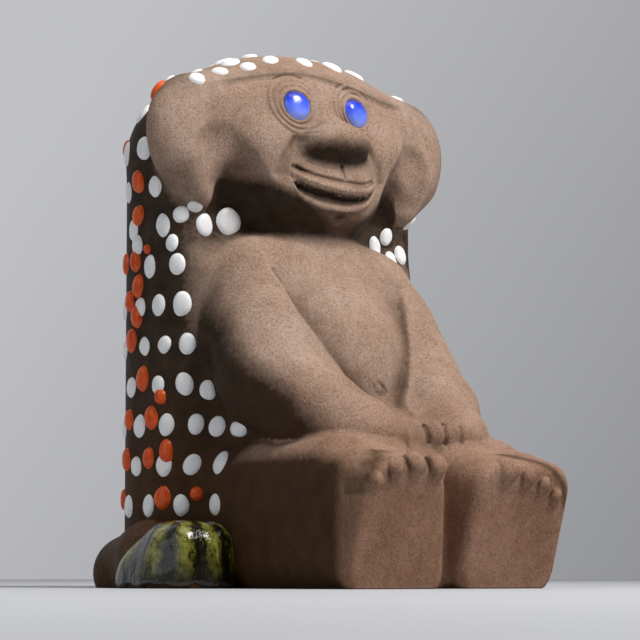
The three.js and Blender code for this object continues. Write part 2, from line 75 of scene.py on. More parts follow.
# The body.
TRUNK = ((0, 17, 34), (0, 25, 84), 31, 19.6)
BELLY, BELLY_TILT = ((0, 11, 54), (30, 26, 33), 8), -14
SHOULDER = ((-13, 21, 82.1), (18, 16, 12.6), 8)
LEFT_SHOULDER_DROP = 1.4
PELVIS = ((0, 24, 20), (36, 26, 32), 10)
LAP = ((0, -9, 38), (24, 19.5, 10.5), 8)
LAP_FRONT = ((0, -22.5, 27), (12, 15.5, 9.5), 6)
ARM_PATH = ((-20, 15, 79), (-22.5, 9, 67), (-24.5, 1, 54.5), (-20.5, -13, 45.4), (-15, -25, 41))
ARM_RADII, ARM_BLEND = (12.5, 12, 11.2, 10.2, 8), 8
HAND = ((-13.4, -25.4, 38.5), (11.3, 10.7, 6.5), 6)
LEG, LEG_CORNER = ((-18.5, -8, 17.5), (16.5, 34, 21.5)), 12
SOLE = ((-18, -41.5, 16), (16, 7, 18))
SOLE_ROUND, SOLE_EDGE, SOLE_LEAN, SOLE_BLEND = 8, 2.5, 17, 4
SOLE_TAPER, SOLE_TAPER_TOP = 0.22, 36
WEB, WEB_CORNER, WEB_BLEND = ((0, -13, 12), (7, 26, 14)), 5, 2
# Each toe's place across its sole, its top, its foot and its half width.
TOES = (
    (-30.4, 28.6, 22.5, 2.3), (-25.2, 32.2, 25.5, 2.7), (-18.9, 33.6, 27, 3.1), (-12, 33.3, 27, 3.3),
    (11.4, 33, 26.5, 3.4), (18.1, 31.2, 25.8, 2.8), (23.7, 28.9, 24, 2.4), (28.4, 25.9, 22.4, 2.1),
)
# How far a toe stands proud at its top and sinks at its foot, and the crease round it.
TOE_PROUD, TOE_SUNK, TOE_CREASE = 1.5, 0.8, 0.3

# The hair, and the hollow scooped out of it through the base.
HAIR, HAIR_CORNER = ((0, 32.5, 62), (42, 21, 70)), 18
CAP = ((0, 33, 118), (42, 20.5, 25), 6)
NECK, NECK_CORNER, NECK_BLEND = ((0, 5, 97.5), (60, 14, 11.5)), 8, 4
HOLLOW, HOLLOW_CORNER = ((0, 32.5, 25), (37, 16, 60)), 13
# How the arms, the legs, the head and the hair are blended into the figure.
ARMS_JOIN, LEGS_JOIN, HEAD_JOIN, HAIR_JOIN = 4, 1.5, 4, 3

# The tail and its tuft.
TAIL_PATH = ((0, 54, 4), (-22, 54, 5), (-38, 44, 4), (-42, 28, 9))
TAIL_RADII, TAIL_BLEND = (4, 6, 9.2, 9), 3
TUFT = ((-42, 18, 1.5), (12.5, 16, 12.2))
TUFT_PEAK, TUFT_PEAK_CORNER, TUFT_BLEND = ((-42.5, 9.7, 4), (9.2, 8.4, 12.1)), 5.5, 6
TUFT_GLAZE, GLAZE_FOOT, GLAZE_WAVE = 1.0, 0.9, 0.5


def points_of(rows):
    return np.asarray(rows, np.float32)


def length(rows):
    return np.linalg.norm(rows, axis=1)


def turned_x(p, degrees):
    a = math.radians(degrees)
    y = math.cos(a) * p[:, 1] + math.sin(a) * p[:, 2]
    z = math.cos(a) * p[:, 2] - math.sin(a) * p[:, 1]
    return np.stack([p[:, 0], y, z], 1)


def ellipsoid(p, form, tilt=0):
    middle, half = points_of(form[0]), points_of(form[1])
    q = turned_x(p - middle, tilt) if tilt else p - middle
    near = length(q / half)
    slope = length(q / (half * half))
    return near * (near - 1) / np.maximum(slope, 1e-6)


def rod(p, start, end, start_radius, end_radius):
    start, end = points_of(start), points_of(end)
    along = end - start
    share = np.clip(((p - start) @ along) / (along @ along), 0, 1)
    radius = start_radius + (end_radius - start_radius) * share
    return length(p - start - share[:, None] * along) - radius


def rounded(q, corner):
    """The distance from a box with round corners, from how far each place is past the box inside them."""
    return length(np.maximum(q, 0)) + np.minimum(q.max(1), 0) - corner


def block(p, form, corner):
    middle, half = points_of(form[0]), points_of(form[1])
    return rounded(np.abs(p - middle) - (half - corner), corner)


def blend(a, b, width):
    """Two forms as one, with the crease between them filled over a width in millimetres."""
    near = np.maximum(width - np.abs(a - b), 0) / width
    return np.minimum(a, b) - near * near * width / 4


def scoop(a, b, width):
    """A form with another taken out of it, softened over a width in millimetres."""
    return -blend(-a, b, width)


def merge(d, p, form, tilt=0):
    """A form with an ellipsoid blended on to it."""
    return blend(d, ellipsoid(p, form, tilt), form[2])


def roll(p, path, radii, width):
    parts = [rod(p, a, b, ra, rb) for a, b, ra, rb in zip(path, path[1:], radii, radii[1:])]
    whole = parts[0]
    for part in parts[1:]:
        whole = blend(whole, part, width)
    return whole


def past(values, limit, width):
    """0 up to a limit, rising to 1 over a width past it, or short of it if the width is negative."""
    return np.clip((values - limit) / width, 0, 1)


def step_up(values, width, at_nought=0.5):
    """A rise from 0 to 1 over a width round nought."""
    return np.clip(values / width + at_nought, 0, 1)


def read_line(line, at):
    """The second number along a line of pairs, at each first number."""
    line = np.asarray(line)
    return np.interp(at, line[:, 0], line[:, 1])


def in_region(p, back, half_width, low, high):
    """Whether a place is in front of a depth, near the middle and between two heights."""
    x, y, z = p.T
    return (y < back) & (np.abs(x) < half_width) & (z > low) & (z < high)


def right_half(p):
    return np.stack([-np.abs(p[:, 0]), p[:, 1], p[:, 2]], 1)


def trunk_field(p, m):
    d = merge(rod(p, *TRUNK), p, BELLY, BELLY_TILT)
    dropped = m + np.where(p[:, :1] > 0, points_of((0, 0, LEFT_SHOULDER_DROP)), 0)
    d = merge(d, dropped, SHOULDER)
    for form in (LAP, LAP_FRONT, PELVIS):
        d = merge(d, p, form)
    return d


def arm_field(m):
    return merge(roll(m, ARM_PATH, ARM_RADII, ARM_BLEND), m, HAND)


def sole_field(p, m):
    """A leaning plate with a rounded outline and softer edges, the right one narrower towards its top."""
    middle, half = points_of(SOLE[0]), points_of(SOLE[1])
    q = turned_x(m - middle, SOLE_LEAN)
    inner = (q[:, 0] > 0) & (p[:, 0] < 0)
    q = np.abs(q) - half
    q[:, 0] += np.where(inner, SOLE_TAPER * np.clip(p[:, 2], 0, SOLE_TAPER_TOP), 0)
    outline = rounded(q[:, [0, 2]] + SOLE_ROUND, SOLE_ROUND)
    return rounded(np.stack([outline, q[:, 1]], 1) + SOLE_EDGE, SOLE_EDGE)


def sole_front(z):
    """Where the front of a sole is at a height."""
    lean = math.radians(SOLE_LEAN)
    return SOLE[0][1] - SOLE[1][1] / math.cos(lean) - math.tan(lean) * (z - SOLE[0][2])


def leg_field(p, m):
    leg = blend(block(m, LEG, LEG_CORNER), sole_field(p, m), SOLE_BLEND)
    leg = blend(leg, block(p, WEB, WEB_CORNER), WEB_BLEND)
    for x, top, foot, radius in TOES:
        high = top - radius
        start = (x, sole_front(high) + radius - TOE_PROUD, high)
        end = (x, sole_front(foot) + radius + TOE_SUNK, foot)
        leg = blend(leg, rod(p, start, end, radius, radius), TOE_CREASE)
    return leg


def head_field(p, m):
    d = ellipsoid(p, SKULL)
    for form in (JAW, MUZZLE, CHIN):
        d = merge(d, p, form)
    for form in (CHEEK, EAR):
        d = merge(d, m, form)
    d = blend(d, rod(m, *LOBE), LOBE_BLEND)
    d = scoop(d, rod(m, *EAR_SCOOP), SCOOP_BLEND)
    nose = blend(ellipsoid(p, NOSE, NOSE_TILT), rod(p, *BRIDGE), BRIDGE_BLEND)
    return blend(d, nose, NOSE_BLEND)


def hair_field(p):
    d = merge(block(p, HAIR, HAIR_CORNER), p, CAP)
    return scoop(d, block(p, NECK, NECK_CORNER), NECK_BLEND)


def plain_figure(p):
    m = right_half(p)
    d = blend(trunk_field(p, m), arm_field(m), ARMS_JOIN)
    d = blend(d, leg_field(p, m), LEGS_JOIN)
    d = blend(d, head_field(p, m), HEAD_JOIN)
    return blend(d, hair_field(p), HAIR_JOIN)


# The eyes, the wrinkle rings round each as shares of its radius with their depths, and its socket.
EYE_X, EYE_Z, EYE_RADIUS = 10, 128.4, 3.9
EYE_RINGS = ((1.36, 0.42), (1.74, 0.42), (2.16, 0.36))
RING_HALF_WIDTH = 0.45
RING_SHARE, RING_LEAN = 0.62, 0.38
SOCKET_SIZE, SOCKET_DEPTH = 1.02, 0.9
EYE_REACH, EYE_BACK = 12, 22

# Incised lines. Each is drawn in front view as (x, z) places, and pressed into the clay in front of a depth:
# places, half width, depth, the furthest back it reaches, and whether it is mirrored.
LIP_CREASE = (
    (-13.7, 111.2), (-10.1, 109.4), (-5, 108.2), (-1.2, 107.7), (4.4, 107.5), (8.5, 107.8), (11.9, 108.8),
)
LINES = (
    (((-11.6, 118.5), (-14.8, 114.4), (-16.6, 109.5)), 1.6, 0.8, 20, True),
    (((-27, 110), (-26.5, 106), (-25.5, 101)), 4, 1.4, 26, True),
    (LIP_CREASE, 0.65, 0.7, 20, False),
    (((0.3, 111.6), (0.8, 108.6)), 0.5, 0.5, 20, False),
    (((-21, 83), (-19.6, 79.5)), 0.45, 0.35, 10, False),
    (((3.4, 41.4), (3.3, 37)), 0.4, 0.5, -20, False),
    (((6.8, 41.6), (6.7, 36.6)), 0.4, 0.5, -20, False),
    (((10.4, 41.2), (10.3, 37)), 0.4, 0.5, -20, False),
)
GROOVE_REACH = 3
# The mouth: the edge of the upper lip, and the edge of the lower lip under it.
LIP_EDGE = (
    (-14.8, 109), (-12.1, 107.2), (-7.7, 105.6), (-2.8, 104.7), (2.7, 104.3), (9, 105.2), (12.8, 107.4),
)
MOUTH_FLOOR = (
    (-14.8, 108.9), (-12.4, 103.9), (-7.7, 101.6), (-2.8, 100.9), (2.7, 101), (9, 103), (12.8, 107.3),
)
MOUTH_DEPTH = 2
MOUTH_LEAD, LEAST_GAPE, FULL_GAPE = 0.3, 0.05, 2.5
# The middle of the mouth and of its lips, and where they end: a limit and the width of the fade at it.
MOUTH_MIDDLE, MOUTH_END = -1, (14.6, -1.5)
LIP_MIDDLE, LIP_END = -0.4, (15, -3)
MOUTH_BACK, MOUTH_LOW, MOUTH_HIGH = 16, 96, 113
# How far above its edge each lip swells, and the swell's half width and height.
UPPER_RISE, UPPER_LIP = 1, (0.9, 0.55)
LOWER_RISE, LOWER_LIP = -0.9, (0.8, 0.35)
CHIN_DIMPLE = (0.6, 3, 98.2)
DIMPLE_RADIUS, DIMPLE_DEPTH = 1.5, 3.2
BUTTON = (0, -14.5, 51)
BUTTON_RISE, BUTTON_RADIUS = 0.5, 1.1
BUTTON_RING, BUTTON_RING_WIDTH = 1.7, 0.6
# The edge where an arm stands proud of the belly, as (z, x) up the right side, its height and its fades.
ARM_EDGE = ((44, -2.5), (46.5, -4), (52.5, -8.8), (61.5, -13.5), (72, -17.8), (83, -21))
ARM_EDGE_RISE = 1.5
ARM_EDGE_SQUARE, ARM_EDGE_WIDTH, ARM_EDGE_REACH = 0.82, 1.2, 5
ARM_EDGE_TOP, ARM_EDGE_FOOT, ARM_EDGE_BACK = (86, -12), (43, 4), 10


def smooth_places(places, steps=8):
    """A Catmull-Rom curve through a line's places."""
    q = np.asarray(places, float)
    q = np.vstack([2 * q[0] - q[1], q, 2 * q[-1] - q[-2]])
    out = []
    for a, b, c, d in zip(q, q[1:], q[2:], q[3:]):
        for t in np.linspace(0, 1, steps, endpoint=False):
            out.append(0.5 * (2 * b + (c - a) * t + (2 * a - 5 * b + 4 * c - d) * t * t
                              + (3 * b - a - 3 * c + d) * t ** 3))
    return points_of(out + [q[-2]])


def distance_to_line(xz, line):
    return np.min([rod(xz, a, b, 0, 0) for a, b in zip(line, line[1:])], axis=0)


def groove(distance, half_width, depth):
    return depth * np.exp(-((distance / half_width) ** 2))


def press(carved, p, line, half_width, depth, back, mirrored):
    x, y, z = (right_half(p) if mirrored else p).T
    reach = GROOVE_REACH * half_width
    low, high = line.min(0) - reach, line.max(0) + reach
    inside = (y < back) & (x > low[0]) & (x < high[0]) & (z > low[1]) & (z < high[1])
    if inside.any():
        xz = np.stack([x[inside], z[inside]], 1)
        carved[inside] = np.maximum(carved[inside], groove(distance_to_line(xz, line), half_width, depth))


def eye_relief(p):
    """The wrinkle rings and the socket round each eye."""
    carved = np.zeros(len(p), np.float32)
    inside = (p[:, 1] < EYE_BACK) & (np.abs(p[:, 2] - EYE_Z) < EYE_REACH)
    x, z = np.abs(p[inside, 0]) - EYE_X, p[inside, 2] - EYE_Z
    radius = np.hypot(x, z) / EYE_RADIUS
    to_right = -np.sign(p[inside, 0]) * x / np.maximum(np.hypot(x, z), 0.1)
    fade = RING_SHARE + RING_LEAN * to_right
    depth = np.zeros(len(x), np.float32)
    for ring, ring_depth in EYE_RINGS:
        depth = np.maximum(depth, groove((radius - ring) * EYE_RADIUS, RING_HALF_WIDTH, ring_depth) * fade)
    socket = SOCKET_DEPTH * np.exp(-((radius / SOCKET_SIZE) ** 8))
    carved[inside] = np.maximum(depth, socket)
    return carved


DRAWN_LINES = [(smooth_places(places), *rest) for places, *rest in LINES]
LIP_CURVE, FLOOR_CURVE = smooth_places(LIP_EDGE), smooth_places(MOUTH_FLOOR)


def mouth_relief(p):
    """An open mouth that is cut in sharply under the upper lip and rises gently to the lower one."""
    x, y, z = p.T
    top, bottom = read_line(LIP_CURVE, x), read_line(FLOOR_CURVE, x)
    gape = np.maximum(top - bottom, LEAST_GAPE)
    share = (top - z) / gape
    lead = past(share, 0, MOUTH_LEAD)
    cut = lead * lead * (3 - 2 * lead) * np.clip(1 - share, 0, 1) * past(gape, 0, FULL_GAPE)
    ends = past(np.abs(x - MOUTH_MIDDLE), *MOUTH_END)
    corner = past(np.abs(x - LIP_MIDDLE), *LIP_END)
    lips = groove(z - top - UPPER_RISE, *UPPER_LIP) + groove(z - bottom - LOWER_RISE, *LOWER_LIP)
    near = (y < MOUTH_BACK) & (z > MOUTH_LOW) & (z < MOUTH_HIGH)
    return np.where(near, MOUTH_DEPTH * cut * ends - corner * lips, 0)


def arm_relief(p):
    """The belly, set back a little along the inner edge of each arm."""
    x, y, z = p.T
    away = ARM_EDGE_SQUARE * (-np.abs(x) - read_line(ARM_EDGE, z))
    fade = past(z, *ARM_EDGE_TOP) * past(z, *ARM_EDGE_FOOT) * (y < ARM_EDGE_BACK)
    back = step_up(away, ARM_EDGE_WIDTH) * np.exp(-np.maximum(away, 0) / ARM_EDGE_REACH)
    return ARM_EDGE_RISE * fade * back


def relief(p):
    """How deep the clay is carved at each place."""
    carved = eye_relief(p)
    for line in DRAWN_LINES:
        press(carved, p, *line)
    carved = carved + mouth_relief(p) + arm_relief(p)
    dimple = length(p - DIMPLE_PLACE)
    carved = carved + DIMPLE_DEPTH * np.exp(-((dimple / DIMPLE_RADIUS) ** 4))
    button = length(p - points_of(BUTTON))
    ring = groove(button - BUTTON_RING, BUTTON_RING_WIDTH, BUTTON_RISE)
    return carved + ring - groove(button, BUTTON_RADIUS, BUTTON_RISE)


# The hairline: the fringe over the brow in front view, and the line down the flank in side view as (z, y).
FRINGE_LINE = (
    (-44, 131), (-34, 132.4), (-27, 133.8), (-18, 135.8), (-6.5, 137.2),
    (6.3, 135.5), (15.5, 133.7), (25.3, 132.6), (34, 133), (44, 134),
)
FRINGE_STEP, FRINGE_EDGE = 0.9, 1.6
FRINGE_REACH, FRINGE_FADE, FRINGE_LOWEST = 36, -10, 120
FLANK_LINE = ((0, 6), (22, 4), (39, -1), (53, 9), (68, 16), (97, 17), (110, 25), (121, 27), (132.5, 19))
FRINGE_CURVE = smooth_places(FRINGE_LINE)


def above_fringe(p):
    """How far a place is above the fringe's edge."""
    return p[:, 2] - read_line(FRINGE_CURVE, p[:, 0])


def behind_flank(p):
    """How far a place is behind the hairline down the flank."""
    return p[:, 1] - read_line(FLANK_LINE, p[:, 2])


def on_hair(p):
    return np.where(p[:, 2] > FLANK_LINE[-1][0], above_fringe(p) > 0, behind_flank(p) > 0)


def fringe_fade(p):
    return past(np.abs(p[:, 0]), FRINGE_REACH, FRINGE_FADE)


def plain_surface(p):
    """The clay with the step at its fringe, but without its carving."""
    fringe = step_up(above_fringe(p), FRINGE_EDGE) * (p[:, 2] > FRINGE_LOWEST)
    return plain_figure(p) - FRINGE_STEP * fringe * fringe_fade(p)


def figure(p):
    d = plain_surface(p) + relief(p)
    d = np.maximum(d, -block(p, HOLLOW, HOLLOW_CORNER))
    return np.maximum(d, -p[:, 2])


def tuft_field(p):
    return blend(ellipsoid(p, TUFT), block(p, TUFT_PEAK, TUFT_PEAK_CORNER), TUFT_BLEND)


def tail(p):
    d = blend(roll(p, TAIL_PATH, TAIL_RADII, TAIL_BLEND), tuft_field(p), TUFT_BLEND)
    return np.maximum(d, -p[:, 2])


# The tuft's flutes, and the sways that make them uneven: size, count and shift.
TUFT_FLUTES, FLUTE_DEPTH = 8, 0.4
FLUTE_SWAYS = ((1.1, 2, 0.6), (0.8, 3, 0))
FLUTE_TOP = (15.5, -5)
WAVE_X, WAVE_Y = 0.9, 0.7


def tuft_flute(p):
    """1 on the rounds of the tuft's uneven flutes and -1 between them."""
    angle = np.arctan2(p[:, 0] - TUFT_PEAK[0][0], p[:, 1] - TUFT_PEAK[0][1])
    turn = TUFT_FLUTES * angle
    for size, count, shift in FLUTE_SWAYS:
        turn = turn + size * np.sin(count * angle + shift)
    return np.cos(turn)


def tuft_coat(p):
    flutes = FLUTE_DEPTH * tuft_flute(p) * past(p[:, 2], *FLUTE_TOP)
    d = tuft_field(p) - TUFT_GLAZE - flutes
    foot = GLAZE_FOOT + GLAZE_WAVE * np.sin(WAVE_X * p[:, 0] + WAVE_Y * p[:, 1])
    return np.maximum(d, foot - p[:, 2])


def slope_of(field, p):
    n = np.empty_like(p)
    for axis in range(3):
        step = np.zeros(3, np.float32)
        step[axis] = SLOPE_STEP
        n[:, axis] = field(p + step) - field(p - step)
    return n / np.maximum(length(n), 1e-6)[:, None]


def settle(field, p, rounds=SETTLE_ROUNDS):
    """The places moved on to the surface, each along its own slope."""
    for _ in range(rounds):
        p = p - np.clip(field(p), -LONGEST_STEP, LONGEST_STEP)[:, None] * slope_of(field, p)
    p[:, 2] = np.maximum(p[:, 2], 0)
    return p


def on_clay(places, rounds=PLACE_ROUNDS):
    return settle(plain_surface, points_of(places), rounds)


DIMPLE_PLACE = on_clay([CHIN_DIMPLE])[0]


def skin(field, low, high, cell):
    """The field's surface as points and four-sided faces."""
    low, high = points_of(low), points_of(high)
    counts = np.ceil((high - low) / cell).astype(int) + 1
    values = np.empty(counts, np.float32)
    rows, heights = (low[axis] + cell * np.arange(counts[axis]) for axis in (1, 2))
    y, z = np.meshgrid(rows, heights, indexing="ij")
    sheet = np.stack([np.zeros(y.size), y.ravel(), z.ravel()], 1).astype(np.float32)
    for i in range(counts[0]):
        sheet[:, 0] = low[0] + cell * i
        values[i] = field(sheet).reshape(y.shape)
    grid = openvdb.FloatGrid(float(GRID_BAND * cell))
    grid.copyFromArray(np.clip(values, -GRID_BAND * cell, GRID_BAND * cell))
    points, quads = grid.convertToQuads()
    return points * cell + low, quads


def mesh_of(name, points, faces):
    mesh = bpy.data.meshes.new(name)
    mesh.from_pydata((points * MM).tolist(), [], [tuple(int(i) for i in f) for f in faces])
    mesh.update()
    return mesh


def places_of(mesh):
    flat = np.empty(len(mesh.vertices) * 3, np.float32)
    mesh.vertices.foreach_get("co", flat)
    return flat.reshape(-1, 3) / MM


def refine(mesh, inside):
    """Splits every edge whose two ends are inside a region."""
    chosen = inside(places_of(mesh))
    bm = bmesh.new()
    bm.from_mesh(mesh)
    edges = [e for e in bm.edges if chosen[e.verts[0].index] and chosen[e.verts[1].index]]
    bmesh.ops.subdivide_edges(bm, edges=edges, cuts=1, use_grid_fill=True)
    bm.to_mesh(mesh)
    bm.free()


# The regions that are split finer: how far back, how wide, and between which heights.
FACE_REGION = (22, 21, 96, 138)
MOUTH_REGION = (20, 16.2, 96.5, 113)
HAND_REGION = (-18, 14, 33, 48)
EYE_REGION_BACK, EYE_REGION = 20, 9.3
FRINGE_REGION_BACK, FRINGE_REGION = 26, 2.5
TOE_REGION_BACK, TOE_REGION_LOW = -41, 20


def in_face(p):
    fringe = (np.abs(p[:, 0]) < FRINGE_REACH) & (np.abs(above_fringe(p)) < FRINGE_REGION)
    return in_region(p, *FACE_REGION) | (p[:, 1] < FRINGE_REGION_BACK) & fringe


def in_features(p):
    eyes = (np.abs(np.abs(p[:, 0]) - EYE_X) < EYE_REGION) & (np.abs(p[:, 2] - EYE_Z) < EYE_REGION)
    return in_region(p, *MOUTH_REGION) | (p[:, 1] < EYE_REGION_BACK) & eyes


def in_hands_and_feet(p):
    toes = (p[:, 1] < TOE_REGION_BACK) & (p[:, 2] > TOE_REGION_LOW)
    return in_region(p, *HAND_REGION) | toes


def face_up(field, points, quads):
    """The quads, turned over if they face into the form."""
    corner = points[quads[:, :3]]
    normal = np.cross(corner[:, 1] - corner[:, 0], corner[:, 2] - corner[:, 0])
    outward = slope_of(field, corner.mean(1).astype(np.float32))
    return quads if (normal * outward).sum() > 0 else quads[:, ::-1]


def form_mesh(name, field, grid):
    """A field's surface as a mesh, with its points."""
    points, quads = skin(field, *grid)
    points = settle(field, points.astype(np.float32))
    return mesh_of(name, points, face_up(field, points, quads)), points


def clay_mesh():
    mesh, _ = form_mesh("clay", figure, CLAY_GRID)
    for region in (in_face, in_features, in_hands_and_feet):
        refine(mesh, region)
        settled = settle(figure, places_of(mesh), REFINED_ROUNDS)
        mesh.vertices.foreach_set("co", (settled * MM).ravel())
    mesh.update()
    return mesh


def add_share(mesh, name, values):
    layer = mesh.attributes.new(name, "FLOAT", "POINT")
    layer.data.foreach_set("value", np.ascontiguousarray(values, np.float32))


def put(name, data):
    obj = bpy.data.objects.new(name, data)
    bpy.context.scene.collection.objects.link(obj)
    return obj


def link(mesh, name, material, slot, *nodes):
    obj = put(name, mesh)
    mesh.materials.append(material)
    mesh.shade_smooth()
    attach(obj, "root")
    if nodes:
        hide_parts(*nodes)


# Dark smudges left over the toes, drawn in front view as (x, z) places.
SMUDGES = (
    ((-33.6, 23.5), (-33.2, 26.5), (-30.6, 30.4), (-25.6, 33.8), (-19, 35.2), (-12, 35)),
    ((14.5, 34.6), (20.6, 32.8), (26.2, 30), (31, 25.6), (32.6, 21)),
)
SMUDGE_REACH, SMUDGE_STAIN = 1.2, 0.7
TOE_FRONT, TOE_TOP = -44, 37

# The way that sprayed places face on the right side, and how far they have to face up an arm. On the arms the
# spray is partly painted shade on the side turned from the light.
SPRAY_AND_SHADE_WAY = (-0.87, 0.12, -0.48)
SPRAY_FACING = ((58, 0.54), (68, 0.66), (84, 0.79))
SPRAY_STRENGTH, SPRAY_SOFT, SPRAY_TOP = 1.15, 0.66, (96, -10)
LEFT_ARM_SPARED = 0.2
HAND_FRONT, LIMB_PARTING, LEG_FACING = (-28, 9), 38, (0.1, 0.52)
THIGH_FRONT, THIGH_TOP = 4, (37, -7)
SOLE_BACK, SOLE_SPARED = (-38, -5), 0.75


def spray_stain_and_shade(p, n):
    """The stain sprayed over the outsides of the arms and legs, thinner up the arms and over the thighs. On
    the arms it is partly painted shade of their turned-away side.
    """
    x, y, z = p.T
    facing = (n * np.stack([-np.sign(x), np.ones(len(p)), np.ones(len(p))], 1)) @ points_of(SPRAY_AND_SHADE_WAY)
    middle = read_line(SPRAY_FACING, z) + np.where(x > 0, LEFT_ARM_SPARED, 0)
    # On the arms the dark ramps in as the clay turns from the light: painted shade as well as stain.
    on_arm = step_up(facing - middle, SPRAY_SOFT) * past(y, *HAND_FRONT)
    on_leg = past(facing, *LEG_FACING) * np.where(y < THIGH_FRONT, past(z, *THIGH_TOP), 1)
    limb = np.where(z > LIMB_PARTING, on_arm, on_leg)
    return SPRAY_STRENGTH * limb * past(z, *SPRAY_TOP) * (1 - SOLE_SPARED * past(y, *SOLE_BACK))


# The line, in front view, under which the jaw and the neck are darkened, partly stain and partly painted
# shade under the jaw, as (x, z) places.
JAW_LINE = (
    (-33, 94), (-30.5, 108), (-28, 110), (-20, 108.4), (-16, 106), (-13, 104.6), (-9, 102.2), (-5, 99.4),
    (-1.5, 97), (3, 95.8), (7, 96.6), (10, 98.8), (13, 101.4), (16, 104.6), (20, 107.6), (28, 109.6),
    (30.5, 107.6), (33, 94),
)
# Its softness, as a width and the darkness on the line itself.
JAW_SOFT = (3.5, 0.3)
NECK_FOOT, NECK_BACK = (92.2, 2.5), 25
NOSE_REGION, NOSE_UNDER, NOSE_TOP = (9, 13, 110, 121), (0.5, -1.1), (121.4, -6.5)
DARKENED_DEPTH, MOUTH_SHADE_AND_STAIN = 0.35, 0.95
# Where the dimple's pit carries painted shade and its lower rim is left bare where light falls, from its
# place, and how far either reaches.
PIT, RIM, PIT_REACH = (0, 0, 1), (-0.4, 0, -1.5), 1.1


def near_dimple(p, shift):
    return groove(length(p - DIMPLE_PLACE - points_of(shift)), PIT_REACH, 1)


def recess_shade_and_stain(p, n):
    """Painted shade under the nose, in the dimple's pit, in the mouth and under the jaw, the last two partly
    stain, with the dimple's lower rim left bare where light falls.
    """
    x, y, z = p.T
    jaw = step_up(read_line(JAW_LINE, x) - z, *JAW_SOFT) * past(z, *NECK_FOOT) * (y < NECK_BACK)
    # The nose's underside, turned down from the light, takes painted shade.
    under_nose = in_region(p, *NOSE_REGION) * past(n[:, 2], *NOSE_UNDER) * past(z, *NOSE_TOP)
    mouth = past(mouth_relief(p), 0, DARKENED_DEPTH * MOUTH_DEPTH)
    # The painted shade under the jaw is lifted off the dimple's lower rim, where light falls.
    jaw = jaw * (1 - near_dimple(p, RIM))
    return np.maximum(np.maximum(jaw, near_dimple(p, PIT)), np.maximum(under_nose, MOUTH_SHADE_AND_STAIN * mouth))


# How the stain ends at the hair's edge and over the crown, and its dark band along the fringe's raised edge,
# partly stain and partly painted shadow.
HAIR_EDGE, CROWN_FOOT, CROWN_BACK = (-4, 8), (126, 10), (30, 12)
CROWN_SIDE, CROWN_SIDE_STAIN = (30, 9), 0.55
BAND_SOFT, BAND_REACH, BAND_SHADOW_AND_STAIN, BAND_BACK = (0.8, 0.6), 2, 0.55, 24


def stain_and_shade_share(p, n):
    """How much dark stain and painted shade a place carries: stain full on the hair, soft past its edge and
    sprayed over the limbs, and painted shade in the recesses, on the arms' shaded sides and along the fringe.
    """
    x, y, z = p.T
    hair = past(behind_flank(p), *HAIR_EDGE)
    crown = past(z, *CROWN_FOOT)
    on_crown = np.maximum(past(y, *CROWN_BACK), CROWN_SIDE_STAIN * past(np.abs(x), *CROWN_SIDE))
    stain_and_shade = hair * (1 - crown) + on_crown * crown
    stain_and_shade = np.maximum(stain_and_shade, np.maximum(spray_stain_and_shade(p, n), recess_shade_and_stain(p, n)))
    # The band along the fringe: painted shadow of the raised edge, with some stain.
    above = above_fringe(p)
    band = step_up(above, *BAND_SOFT) * np.exp(-np.maximum(above, 0) / BAND_REACH)
    stain_and_shade = np.maximum(stain_and_shade, BAND_SHADOW_AND_STAIN * band * (y < BAND_BACK) * fringe_fade(p))
    for smudge in SMUDGES:
        near = distance_to_line(p[:, [0, 2]], points_of(smudge))
        stain_and_shade = np.maximum(stain_and_shade, groove(near, SMUDGE_REACH, SMUDGE_STAIN) * (y < TOE_FRONT))
    return stain_and_shade


# How far off the clay is felt for, and where painted shade lies under it: less on the head and between the
# feet.
HOLLOW_REACH, EDGE_REACH = 3.0, 1.6
UNDER, UNDER_FOOT = (0.3, 0.5), (2, 8)
HEAD_FOOT, HEAD_UNDER, BODY_UNDER = 100, 0.4, 0.8
FEET_BACK, FEET_HALF, FEET_HOLLOW = -34, 9, 0.15


def hollow_shade_share(p, n):
    """How far the clay closes in round a place or turns under, where shade is painted in."""
    x, y, z = p.T
    closed = step_up(-plain_figure(p + HOLLOW_REACH * n), HOLLOW_REACH, 1)
    toes = (y < TOE_FRONT) & (z < TOE_TOP)
    under = past(-n[:, 2], *UNDER) * past(z, *UNDER_FOOT) * ~toes
    under = under * np.where(z > HEAD_FOOT, HEAD_UNDER, BODY_UNDER)
    between_feet = (y < FEET_BACK) & (np.abs(x) < FEET_HALF)
    return np.maximum(closed, under) * np.where(between_feet, FEET_HOLLOW, 1)


def edge_share(p, n):
    """How sharply the clay turns away round a place."""
    return step_up(figure(p - EDGE_REACH * n), EDGE_REACH, 1)


# How far past an ear's form the clay still counts as the ear.
EAR_MARGIN = 1.5


def split_clay(clay):
    """The clay's front and back halves, each with its own shares and with the whole form's normals."""
    places = places_of(clay)
    faces = [list(f.vertices) for f in clay.polygons]
    middles = np.array([places[f].mean(0) for f in faces], np.float32)
    in_ear = ellipsoid(right_half(middles), EAR) < EAR_MARGIN
    back = on_hair(middles) & ~in_ear
    halves = []
    for name, chosen in (("clay_front", ~back), ("clay_back", back)):
        own = [faces[i] for i in np.nonzero(chosen)[0]]
        used = np.unique(np.concatenate(own))
        renumber = np.full(len(places), -1)
        renumber[used] = np.arange(len(used))
        p = places[used]
        n = slope_of(figure, p)
        mesh = mesh_of(name, p, [[renumber[i] for i in f] for f in own])
        add_share(mesh, "stain_and_shade", stain_and_shade_share(p, n))
        add_share(mesh, "hollow", hollow_shade_share(p, n))
        add_share(mesh, "edge", edge_share(p, n))
        mesh.shade_smooth()
        mesh.normals_split_custom_set_from_vertices(n.tolist())
        halves.append(mesh)
    return halves


